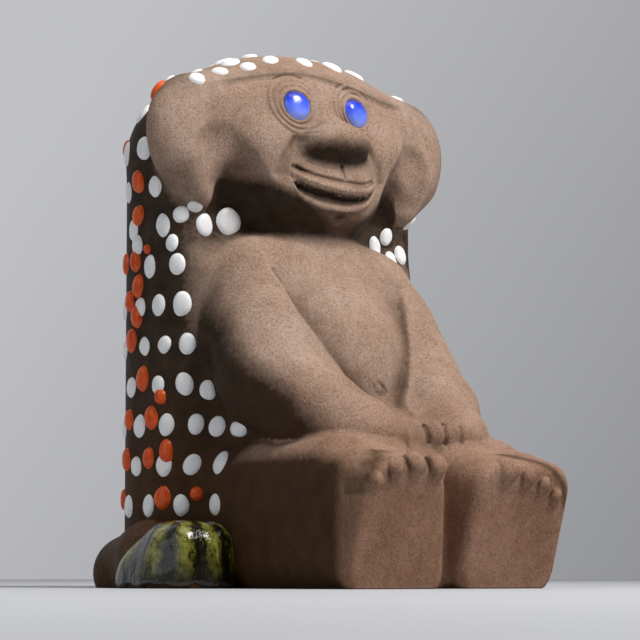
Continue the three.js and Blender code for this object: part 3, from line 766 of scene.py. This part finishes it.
class Nodes:
    """A material as a small chain of nodes."""

    def __init__(self, name):
        self.material = bpy.data.materials.new(name)
        self.material.use_nodes = True
        self.tree = self.material.node_tree
        self.shader = self.tree.nodes["Principled BSDF"]

    def add(self, kind, **values):
        node = self.tree.nodes.new(kind)
        for key, value in values.items():
            if key in node.inputs:
                node.inputs[key].default_value = value
            else:
                setattr(node, key, value)
        return node

    def link(self, source, target):
        self.tree.links.new(source, target)

    def feed(self, socket, value):
        """Sets a socket to a number or a colour, or links another node's output to it."""
        if isinstance(value, (int, float)):
            socket.default_value = value
        elif isinstance(value, tuple):
            socket.default_value = (*value, 1)
        else:
            self.link(value, socket)

    def place(self, scale=(1, 1, 1)):
        coordinates = self.add("ShaderNodeTexCoord")
        mapping = self.add("ShaderNodeMapping")
        mapping.inputs["Scale"].default_value = scale
        self.link(coordinates.outputs["Object"], mapping.inputs["Vector"])
        return mapping.outputs["Vector"]

    def noise(self, size_mm, detail=3, roughness=0.55, scale=(1, 1, 1)):
        node = self.add("ShaderNodeTexNoise", Scale=1 / (size_mm * MM), Detail=detail, Roughness=roughness)
        self.link(self.place(scale), node.inputs["Vector"])
        return node.outputs["Fac"]

    def specks(self, size_mm):
        node = self.add("ShaderNodeTexVoronoi", Scale=1 / (size_mm * MM))
        self.link(self.place(), node.inputs["Vector"])
        return node.outputs["Distance"]

    def axes(self):
        split = self.add("ShaderNodeSeparateXYZ")
        self.link(self.place(), split.inputs["Vector"])
        return split.outputs

    def ramp(self, source, *stops):
        node = self.add("ShaderNodeValToRGB")
        elements = node.color_ramp.elements
        while len(elements) < len(stops):
            elements.new(0.5)
        for element, (position, color) in zip(elements, stops):
            element.position = position
            element.color = (*color, 1)
        self.link(source, node.inputs["Fac"])
        return node.outputs["Color"]

    def grey(self, source, low, high, dark=0.0, light=1.0):
        return self.ramp(source, (low, (dark,) * 3), (high, (light,) * 3))

    def share(self, name):
        return self.add("ShaderNodeAttribute", attribute_name=name).outputs["Fac"]

    def math(self, operation, a, b):
        node = self.add("ShaderNodeMath", operation=operation)
        for socket, value in zip(node.inputs, (a, b)):
            self.feed(socket, value)
        return node.outputs["Value"]

    def stirred(self, source, noise, amount):
        """A source, raised and lowered by a noise."""
        return self.math("ADD", source, self.math("MULTIPLY", self.math("SUBTRACT", noise, 0.5), amount))

    def mix(self, share, a, b, blend_type="MIX"):
        node = self.add("ShaderNodeMix", data_type="RGBA", blend_type=blend_type)
        sockets = {"Factor": share, "A": a, "B": b}
        for socket in node.inputs:
            wanted = "VALUE" if socket.name == "Factor" else "RGBA"
            if socket.name in sockets and socket.type == wanted:
                self.feed(socket, sockets[socket.name])
        return next(o for o in node.outputs if o.type == "RGBA")

    def bump(self, *heights):
        """Stacks bumps, each a height source, its strength and its depth in millimetres."""
        normal = None
        for source, strength, depth in heights:
            node = self.add("ShaderNodeBump", Strength=strength, Distance=depth * MM)
            self.link(source, node.inputs["Height"])
            if normal is not None:
                self.link(normal, node.inputs["Normal"])
            normal = node.outputs["Normal"]
        self.link(normal, self.shader.inputs["Normal"])

    def set(self, **inputs):
        for name, value in inputs.items():
            self.feed(self.shader.inputs[name.replace("_", " ")], value)


def clay_material():
    m = Nodes("grogged_stoneware")
    flashing = m.noise(16, 4, 0.6)
    brown, tan, pale = (0.25, 0.156, 0.109), (0.33, 0.223, 0.166), (0.4, 0.289, 0.231)
    body = m.ramp(flashing, (0.3, brown), (0.5, tan), (0.72, pale))
    brushed = m.noise(2.6, 4, 0.65, (1, 1, 0.3))
    body = m.mix(m.grey(brushed, 0.42, 0.7, 0, 0.4), body, (0.2, 0.118, 0.078))
    grain = m.noise(0.6, 3, 0.7)
    body = m.mix(m.grey(grain, 0.5, 0.68, 0, 0.5), body, (0.46, 0.34, 0.255))
    body = m.mix(m.grey(grain, 0.34, 0.48, 0.55, 0), body, (0.12, 0.068, 0.042))
    grog = m.grey(m.specks(1.4), 0.05, 0.2, 1, 0)
    picked = m.grey(m.noise(2.3, 2), 0.58, 0.64)
    body = m.mix(m.math("MULTIPLY", grog, picked), body, (0.55, 0.46, 0.37))
    pits = m.grey(m.specks(2.4), 0.03, 0.12, 1, 0)
    pitted = m.grey(m.noise(5, 2), 0.56, 0.6)
    body = m.mix(m.math("MULTIPLY", pits, pitted), body, (0.05, 0.03, 0.02))
    # Lighter clay where the form turns sharply away: partly rubbed wear, partly a painted highlight on the
    # edges.
    body = m.mix(m.grey(m.share("edge"), 0.1, 0.8, 0, 0.55), body, (0.5, 0.38, 0.29))
    # Painted shade in the hollows and on the undersides, where the clay closes in or turns under.
    hollow = m.stirred(m.share("hollow"), m.noise(2.2, 3), 0.4)
    body = m.mix(m.grey(hollow, 0.12, 0.8, 0, 0.85), body, (0.07, 0.037, 0.021))
    low = m.grey(m.axes()["Z"], 0.02, 0.06, 0.75, 0)
    body = m.mix(low, body, (0.72, 0.52, 0.4), "MULTIPLY")
    # The dark colour laid on by the stain share: the real stain of the hair and limbs, and also painted shade
    # under the nose and jaw, in the mouth, on the arms' shaded sides and along the fringe.
    stain_and_shade = m.ramp(m.noise(4, 3), (0.35, (0.024, 0.013, 0.0065)), (0.7, (0.046, 0.027, 0.0155)))
    low_stain = m.ramp(m.noise(5, 3), (0.35, (0.04, 0.0165, 0.0045)), (0.7, (0.062, 0.028, 0.0085)))
    stain_and_shade = m.mix(m.grey(m.axes()["Z"], 0.03, 0.06, 1, 0), stain_and_shade, low_stain)
    edge = m.stirred(m.share("stain_and_shade"), m.noise(1.2, 4), 0.55)
    dark = m.grey(edge, 0.12, 0.88)
    m.set(Base_Color=m.mix(dark, body, stain_and_shade))
    rough = m.grey(grain, 0.3, 0.7, 0.75, 0.95)
    m.set(Roughness=m.mix(dark, rough, (0.62, 0.62, 0.62)), Specular_IOR_Level=0.16)
    streaks = m.noise(1.1, 4, 0.7, (1, 1, 0.25))
    m.bump((m.noise(6, 3), 0.5, 0.5), (streaks, 0.5, 0.22), (grain, 0.85, 0.22), (grog, 0.25, 0.2))
    return m.material


# The dots' glazes: dark, middle and light.
WHITE = ((0.78, 0.785, 0.79), (0.84, 0.84, 0.84), (0.88, 0.88, 0.875))
ORANGE = ((0.52, 0.045, 0.003), (0.66, 0.078, 0.004), (0.72, 0.12, 0.008))


def dot_material(name, dark, middle, light):
    m = Nodes(name)
    m.set(Base_Color=m.ramp(m.noise(3, 3, 0.6), (0.3, dark), (0.52, middle), (0.74, light)))
    m.set(Roughness=m.grey(m.noise(1, 3), 0.3, 0.7, 0.26, 0.4))
    m.set(Coat_Weight=0.12, Coat_Roughness=0.2, Specular_IOR_Level=0.3)
    m.bump((m.noise(2.6, 2), 0.12, 0.2))
    return m.material


def eye_material():
    m = Nodes("blue_glaze")
    # Paler low in the pool and darker at its top; the pale swirl stands in as a painted reflection.
    swirl_and_sheen = m.stirred(m.share("height"), m.noise(2, 3), 0.45)
    pale, bright = (0.26, 0.36, 0.97), (0.12, 0.2, 0.95)
    deep, dark = (0.025, 0.07, 0.78), (0.004, 0.014, 0.34)
    color = m.ramp(swirl_and_sheen, (0.05, pale), (0.4, bright), (0.68, deep), (0.95, dark))
    m.set(Base_Color=color, Roughness=m.grey(m.noise(1, 2), 0.3, 0.7, 0.2, 0.3))
    m.set(Coat_Weight=0.5, Coat_Roughness=0.12)
    m.bump((m.noise(1.6, 2), 0.2, 0.2))
    return m.material


def tuft_material():
    m = Nodes("green_glaze")
    mottle = m.noise(1.5, 5, 0.75, (1, 1, 0.55))
    veined = m.math("ADD", m.math("MULTIPLY", m.share("flute"), 0.26), m.math("MULTIPLY", mottle, 0.85))
    black, umber, olive = (0.004, 0.0036, 0.002), (0.024, 0.021, 0.004), (0.1, 0.095, 0.008)
    moss, milk = (0.22, 0.22, 0.04), (0.4, 0.41, 0.26)
    color = m.ramp(veined, (0.44, black), (0.53, umber), (0.6, olive), (0.72, moss), (0.86, milk))
    color = m.mix(m.grey(m.share("height"), 0.15, 0.75, 0.95, 0), color, (0.007, 0.006, 0.003))
    m.set(Base_Color=color, Roughness=m.grey(m.noise(2, 3), 0.3, 0.7, 0.06, 0.16))
    m.set(Coat_Weight=0.45, Coat_Roughness=0.05, Specular_IOR_Level=0.35)
    m.bump((m.noise(2.4, 4, 0.6, (1, 1, 0.5)), 0.8, 0.9), (mottle, 0.25, 0.25))
    return m.material


# Glaze domes: a ring pattern laid on the clay and swelled along its normals, with an edge that sinks into it.
DOT_RINGS, DOT_SPOKES = 5, 24
DOT_SINK, SINK_POWER = 0.25, 6
DOME_POWER, DOT_SWELL = 2.4, 0.5
DOT_WAVES, DOT_WOBBLE, FULL_TURN = 3, 0.025, 6.28
# How near to level a place is when its dot takes its upright from behind and not from above.
LEVEL = 0.95


def dome_faces():
    faces = [(0, 1 + s, 1 + (s + 1) % DOT_SPOKES) for s in range(DOT_SPOKES)]
    for ring in range(DOT_RINGS - 1):
        first = 1 + ring * DOT_SPOKES
        for s in range(DOT_SPOKES):
            after = (s + 1) % DOT_SPOKES
            faces.append((first + s, first + DOT_SPOKES + s, first + DOT_SPOKES + after, first + after))
    return faces


def dot_axes(normal, tilt):
    """A dot's sideways and upright directions on the clay."""
    pole = np.array([0, 0, 1.0]) if abs(normal[2]) < LEVEL else np.array([0, 1.0, 0])
    up = pole - normal * (normal @ pole)
    up = up / np.linalg.norm(up)
    across = np.cross(up, normal)
    a = math.radians(tilt)
    return math.cos(a) * across + math.sin(a) * up, math.cos(a) * up - math.sin(a) * across


def domes(specs, swell=DOT_SWELL):
    """Points of glaze domes on the clay, each from its place, width, height, rise, tilt and seed."""
    middles = on_clay([spec[0] for spec in specs])
    normals = slope_of(plain_surface, middles)
    rows, lifts = [], []
    for middle, normal, (_, width, height, top, tilt, seed) in zip(middles, normals, specs):
        random = np.random.default_rng(seed)
        across, up = dot_axes(normal, tilt)
        sizes = random.uniform(-DOT_WOBBLE, DOT_WOBBLE, DOT_WAVES)
        waves = list(zip(range(2, 2 + DOT_WAVES), sizes, random.uniform(0, FULL_TURN, DOT_WAVES)))
        rows.append(middle)
        lifts.append(top)
        for ring in range(1, DOT_RINGS + 1):
            share = ring / DOT_RINGS
            lift = top * (1 - share ** DOME_POWER) ** swell - DOT_SINK * share ** SINK_POWER
            for spoke in range(DOT_SPOKES):
                b = 2 * math.pi * spoke / DOT_SPOKES
                edge = share * (1 + sum(size * math.cos(k * b + turn) for k, size, turn in waves))
                sideways, upright = edge * width / 2 * math.cos(b), edge * height / 2 * math.sin(b)
                rows.append(middle + across * sideways + up * upright)
                lifts.append(lift)
    base = on_clay(rows, BASE_ROUNDS)
    points = base + points_of(lifts)[:, None] * slope_of(plain_surface, base)
    return points.reshape(len(specs), -1, 3)


def joined(shapes):
    """Several domes as one set of points and faces."""
    pattern = dome_faces()
    size = shapes.shape[1]
    faces = [tuple(i + k * size for i in face) for k in range(len(shapes)) for face in pattern]
    return shapes.reshape(-1, 3), faces


# Dots that no node stands for, given one by one: place, width and height.
SPARE_WHITE = (
    (-24, 19, 97, 7.6, 8), (-34.5, 19, 102.5, 4.6, 3.8), (-38.8, 19.8, 98, 5, 4.8), (-40, 22, 90.5, 4, 5),
    (-42, 35.5, 91, 5, 6), (-43, 31, 116.5, 6, 7), (-34, 14, 51.5, 5, 5.5), (-32, 12.5, 42, 5, 6),
    (-30, 6, 41, 6.5, 4.5), (-41, 22, 133.5, 5, 4.5), (-36.5, 16, 134, 5, 4.5), (-28.5, 17, 136.5, 5, 4.5),
    (-20, 16, 138, 5, 4.5), (34, 20, 134, 5, 4.5),
    (26, 18, 94, 4, 6.5), (30, 18, 97, 4, 5.5), (31, 18, 91, 4, 5.5), (35, 18, 92.5, 4.5, 6),
    (37, 18, 102, 4.5, 5.5),
)
SPARE_ORANGE = (
    (-45.5, 22, 131, 5, 7), (-42, 35, 99, 5, 6), (-42, 30.5, 89.5, 2.5, 3), (-42, 35, 80, 5, 7),
    (-42, 35.5, 72, 5, 7), (-41.5, 25, 50, 4, 4.5), (-41, 23, 35.5, 4.5, 7), (-36.5, 15.5, 24.5, 4, 4),
)
# The common dot, and what a dot's rise, growth, stretch and tilt are drawn from.
DOT_WIDTH, DOT_HEIGHT = 5.2, 6.4
WHITE_RISE, ORANGE_RISE = (0.75, 0.95), (1.1, 1.35)
DOT_GROWTH, DOT_STRETCH, DOT_TILT = (0.86, 1.1), (0.92, 1.1), 10
SAME_APART, OTHER_APART = 4.0, 2.6
OTHER_DOTS_SEED = 100


def node_middle(node):
    low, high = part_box(node)
    return np.array((low + high) / 2) / MM


def dot_spec(place, is_orange, seed, width=0, height=0):
    """A dot's place, width, height, rise, tilt and seed. Without a size it varies round the common one."""
    random = np.random.default_rng(seed)
    top = random.uniform(*(ORANGE_RISE if is_orange else WHITE_RISE))
    if not width:
        grow = random.uniform(*DOT_GROWTH)
        width, height = DOT_WIDTH * grow, DOT_HEIGHT * grow * random.uniform(*DOT_STRETCH)
    return place, width, height, top, random.normal(0, DOT_TILT), seed


# Rows of dots round the back and the left, at turns from the right side, and places over the crown as (y, x).
FIRST_ROW, ROW_PITCH, ROWS = 21.5, 10.55, 11
BACK_TURNS = ((30, 47, 73, 107, 133, 150, 174), (38, 58, 90, 122, 141, 162, 186))
CROWN_ROWS = ((25, -22), (25, -13), (25, 8), (25, 18), (34, -18), (34, -6),
              (34, 6), (34, 18), (43, -12), (43, 0), (43, 12))
CROWN_TOP = 143.0
# Which of every five dots are orange, and how a dot is brought in to the clay from outside.
IN_FIVE, ORANGE_OF_FIVE = 5, (1, 3)
OUTSIDE, INWARD_ROUNDS = 70, 40


def inferred_places():
    """The white and the orange places that carry the pattern on over the back, the left and the crown."""
    starts, ways = [], []
    for row in range(ROWS):
        for turn in BACK_TURNS[row % 2]:
            a = math.radians(turn)
            way = np.array((-math.cos(a), math.sin(a), 0))
            starts.append(np.array((0, HAIR[0][1], FIRST_ROW + row * ROW_PITCH)) + OUTSIDE * way)
            ways.append(way)
    starts, ways = points_of(starts), points_of(ways)
    for _ in range(INWARD_ROUNDS):
        starts = starts - ways * plain_surface(starts)[:, None]
    crown = [np.array((x, y, CROWN_TOP)) for y, x in CROWN_ROWS]
    orange = np.isin(np.arange(len(starts)) % IN_FIVE, ORANGE_OF_FIVE)
    return list(starts[~orange]) + crown, list(starts[orange])


def has_room(place, is_orange, taken):
    """Whether a dot is far enough from the dots set so far."""
    limits = ((is_orange, SAME_APART), (not is_orange, OTHER_APART))
    return all(np.linalg.norm(place - dot) > apart for color, apart in limits for dot in taken[color])


def add_node_dots(taken, is_orange, slot, material):
    """A dome at the place of each node's dot."""
    dots = sorted(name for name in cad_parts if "_dot_" in name)
    names = [name for name in dots if name.startswith("orange") == is_orange]
    places = on_clay([node_middle(name) for name in names])
    taken[is_orange].extend(places)
    specs = [dot_spec(place, is_orange, seed) for seed, place in enumerate(places)]
    for name, points in zip(names, domes(specs)):
        link(mesh_of(name + "_glaze", points, dome_faces()), name + "_glaze", material, slot, name)


def add_other_dots(taken, is_orange, slot, material):
    """The dots that no node stands for, in one joined piece, wherever there is room."""
    spare = SPARE_ORANGE if is_orange else SPARE_WHITE
    rest = [(dot[:3], dot[3:]) for dot in spare] + [(place, ()) for place in inferred_places()[is_orange]]
    places = on_clay([place for place, _ in rest])
    specs = []
    for place, (_, size) in zip(places, rest):
        if has_room(place, is_orange, taken):
            taken[is_orange].append(place)
            specs.append(dot_spec(place, is_orange, OTHER_DOTS_SEED + len(specs), *size))
    name = "more_orange_dots" if is_orange else "more_white_dots"
    link(mesh_of(name, *joined(domes(specs))), name, material, slot)


def add_dots(white, orange):
    taken = {False: [], True: []}
    glazes = ((False, "white_glaze", white), (True, "orange_glaze", orange))
    for add in (add_node_dots, add_other_dots):
        for glaze in glazes:
            add(taken, *glaze)


# An eye's pool: the depth it starts from, and its size as shares of the eye's radius.
EYE_START, POOL_WIDTH, POOL_HEIGHT = 7, 2, 2.15
POOL_RISE, POOL_TILT, POOL_SWELL, POOL_SEED = 1.3, 12, 0.6, 3


def add_eyes(material):
    specs = []
    for side in (-1, 1):
        place = (side * EYE_X, EYE_START, EYE_Z)
        width, height = POOL_WIDTH * EYE_RADIUS, POOL_HEIGHT * EYE_RADIUS
        specs.append((place, width, height, POOL_RISE, POOL_TILT, POOL_SEED + side))
    for node, points in zip(("right_eye_glaze", "left_eye_glaze"), domes(specs, POOL_SWELL)):
        mesh = mesh_of(node + "_pool", points, dome_faces())
        low, high = points[:, 2].min(), points[:, 2].max()
        add_share(mesh, "height", (points[:, 2] - low) / (high - low))
        link(mesh, node + "_pool", material, "blue_glaze", node)


def add_clay(material):
    front, back = split_clay(clay_mesh())
    link(front, "clay_front", material, "bare_clay", "front_casting")
    link(back, "clay_back", material, "stained_clay", "back_casting")


# The grids of the tail and of its glaze: lowest corner, highest corner and cell.
TAIL_GRID = ((-60, -4, -2), (6, 64, 24), 0.8)
TUFT_GRID = ((-60, -4, -1), (-24, 40, 24), 0.6)
TAIL_STAIN = 0.85


def add_tail(clay, glaze):
    mesh, points = form_mesh("tail", tail, TAIL_GRID)
    for name, share in (("stain_and_shade", TAIL_STAIN), ("hollow", 0), ("edge", 0)):
        add_share(mesh, name, np.full(len(points), share))
    link(mesh, "tail", clay, "stained_clay", "tail_roll")
    mesh, points = form_mesh("tuft_glaze", tuft_coat, TUFT_GRID)
    add_share(mesh, "flute", 0.5 + 0.5 * tuft_flute(points))
    add_share(mesh, "height", points[:, 2] / (TUFT[0][2] + TUFT[1][2]))
    link(mesh, "tuft_glaze", glaze, "green_glaze", "tail_tuft_glaze")


# The stage, the lights and the camera.
AZIMUTH, DISTANCE, CAMERA_HEIGHT = -38, 700, 4
PHOTO_SIZE, FOCAL_PIXELS = 640, 2650
AXIS_PIXEL, BASE_PIXEL = 343.6, 588
SENSOR = 36
CLIP_START = 0.01
# Each lamp's name, azimuth, elevation, distance, size, power and colour, and the light of the room.
LAMPS = (
    ("key", 18, 51, 0.9, (0.34, 0.34), 10, (1, 0.975, 0.95)),
    ("top", -20, 80, 0.9, (0.6, 0.6), 1.8, (1, 1, 1)),
    ("fill", -95, 25, 1.0, (0.6, 0.8), 1.7, (0.95, 0.98, 1)),
)
ROOM_COLOR, ROOM_STRENGTH = (0.9, 0.94, 1, 1), 0.12
# In metres: where the lamps point, and the corners of the floor and of the backdrop with its distance.
LAMP_TARGET = (0, 0, 0.07)
FLOOR = ((-3, -3, 0), (3, -3, 0), (3, 3, 0), (-3, 3, 0))
WALL, WALL_AWAY = ((-2.5, 0, -0.5), (2.5, 0, -0.5), (2.5, 0, 2.5), (-2.5, 0, 2.5)), 0.9
# The backdrop's shading: how far it leans up as it goes across, its reach in metres and its unevenness.
SHADE_UP, SHADE_REACH, SHADE_NOISE = -0.64, 0.709, 0.02


def add_camera():
    a = math.radians(AZIMUTH)
    yaw = math.atan((AXIS_PIXEL - PHOTO_SIZE / 2) / FOCAL_PIXELS)
    pitch = math.atan((BASE_PIXEL - PHOTO_SIZE / 2) / FOCAL_PIXELS) - CAMERA_HEIGHT / DISTANCE
    ahead = Vector((-math.sin(a), math.cos(a), 0))
    right = Vector((math.cos(a), math.sin(a), 0))
    level = math.cos(yaw) * ahead - math.sin(yaw) * right
    side = math.cos(yaw) * right + math.sin(yaw) * ahead
    up = math.cos(pitch) * Vector((0, 0, 1)) - math.sin(pitch) * level
    look = math.cos(pitch) * level + math.sin(pitch) * Vector((0, 0, 1))
    data = bpy.data.cameras.new("camera")
    data.sensor_width = SENSOR
    data.lens = SENSOR * FOCAL_PIXELS / PHOTO_SIZE
    data.clip_start = CLIP_START
    matrix = Matrix((side, up, -look)).transposed().to_4x4()
    matrix.translation = Vector((DISTANCE * math.sin(a), -DISTANCE * math.cos(a), CAMERA_HEIGHT)) * MM
    camera = put("camera", data)
    camera.matrix_world = matrix
    bpy.context.scene.camera = camera


def add_light(name, azimuth, elevation, distance, size, power, color):
    a, e = math.radians(azimuth), math.radians(elevation)
    data = bpy.data.lights.new(name, "AREA")
    data.shape = "RECTANGLE"
    data.size, data.size_y = size
    data.energy = power
    data.color = color
    light = put(name, data)
    away = Vector((math.sin(a) * math.cos(e), -math.cos(a) * math.cos(e), math.sin(e)))
    light.location = Vector(LAMP_TARGET) + away * distance
    light.rotation_euler = away.to_track_quat("Z", "Y").to_euler()


def sheet(name, corners):
    mesh = bpy.data.meshes.new(name)
    mesh.from_pydata(corners, [], [(0, 1, 2, 3)])
    obj = put(name, mesh)
    return obj


def add_floor():
    floor = sheet("floor", FLOOR)
    m = Nodes("floor_paint")
    color = m.ramp(m.noise(300, 2), (0.3, (0.44, 0.451, 0.477)), (0.7, (0.475, 0.486, 0.513)))
    m.set(Base_Color=color, Roughness=0.6)
    floor.data.materials.append(m.material)


def add_backdrop():
    """A glowing wall behind the figure, its painted light going from light to dark across and down."""
    wall = sheet("backdrop", WALL)
    a = math.radians(AZIMUTH)
    wall.location = Vector((-math.sin(a), math.cos(a), 0)) * WALL_AWAY
    wall.rotation_euler = (0, 0, a)
    m = Nodes("backdrop_painted_light")
    axes = m.axes()
    slope = m.math("ADD", axes["X"], m.math("MULTIPLY", axes["Z"], SHADE_UP))
    slope = m.math("ADD", m.math("MULTIPLY", slope, 1 / SHADE_REACH), 0.5)
    uneven = m.math("ADD", slope, m.math("MULTIPLY", m.noise(90, 2), SHADE_NOISE))
    color = m.ramp(uneven, (0, (0.51, 0.514, 0.538)), (1, (0.205, 0.208, 0.217)))
    # The backdrop glows with this painted light and hardly reflects the lamps.
    m.set(Base_Color=m.mix(0.96, color, (0.01, 0.01, 0.01)), Emission_Color=color, Emission_Strength=1.0)
    m.set(Roughness=0.9, Specular_IOR_Level=0.0)
    wall.data.materials.append(m.material)


def add_lights():
    world = bpy.data.worlds.new("studio")
    world.use_nodes = True
    background = world.node_tree.nodes["Background"]
    background.inputs["Color"].default_value = ROOM_COLOR
    background.inputs["Strength"].default_value = ROOM_STRENGTH
    bpy.context.scene.world = world
    for lamp in LAMPS:
        add_light(*lamp)


def main():
    clay = clay_material()
    white, orange = dot_material("white_glaze", *WHITE), dot_material("orange_glaze", *ORANGE)
    add_clay(clay)
    add_tail(clay, tuft_material())
    add_eyes(eye_material())
    add_dots(white, orange)
    add_floor()
    add_backdrop()
    add_lights()
    add_camera()
    bpy.context.scene.view_settings.view_transform = "Standard"


main()
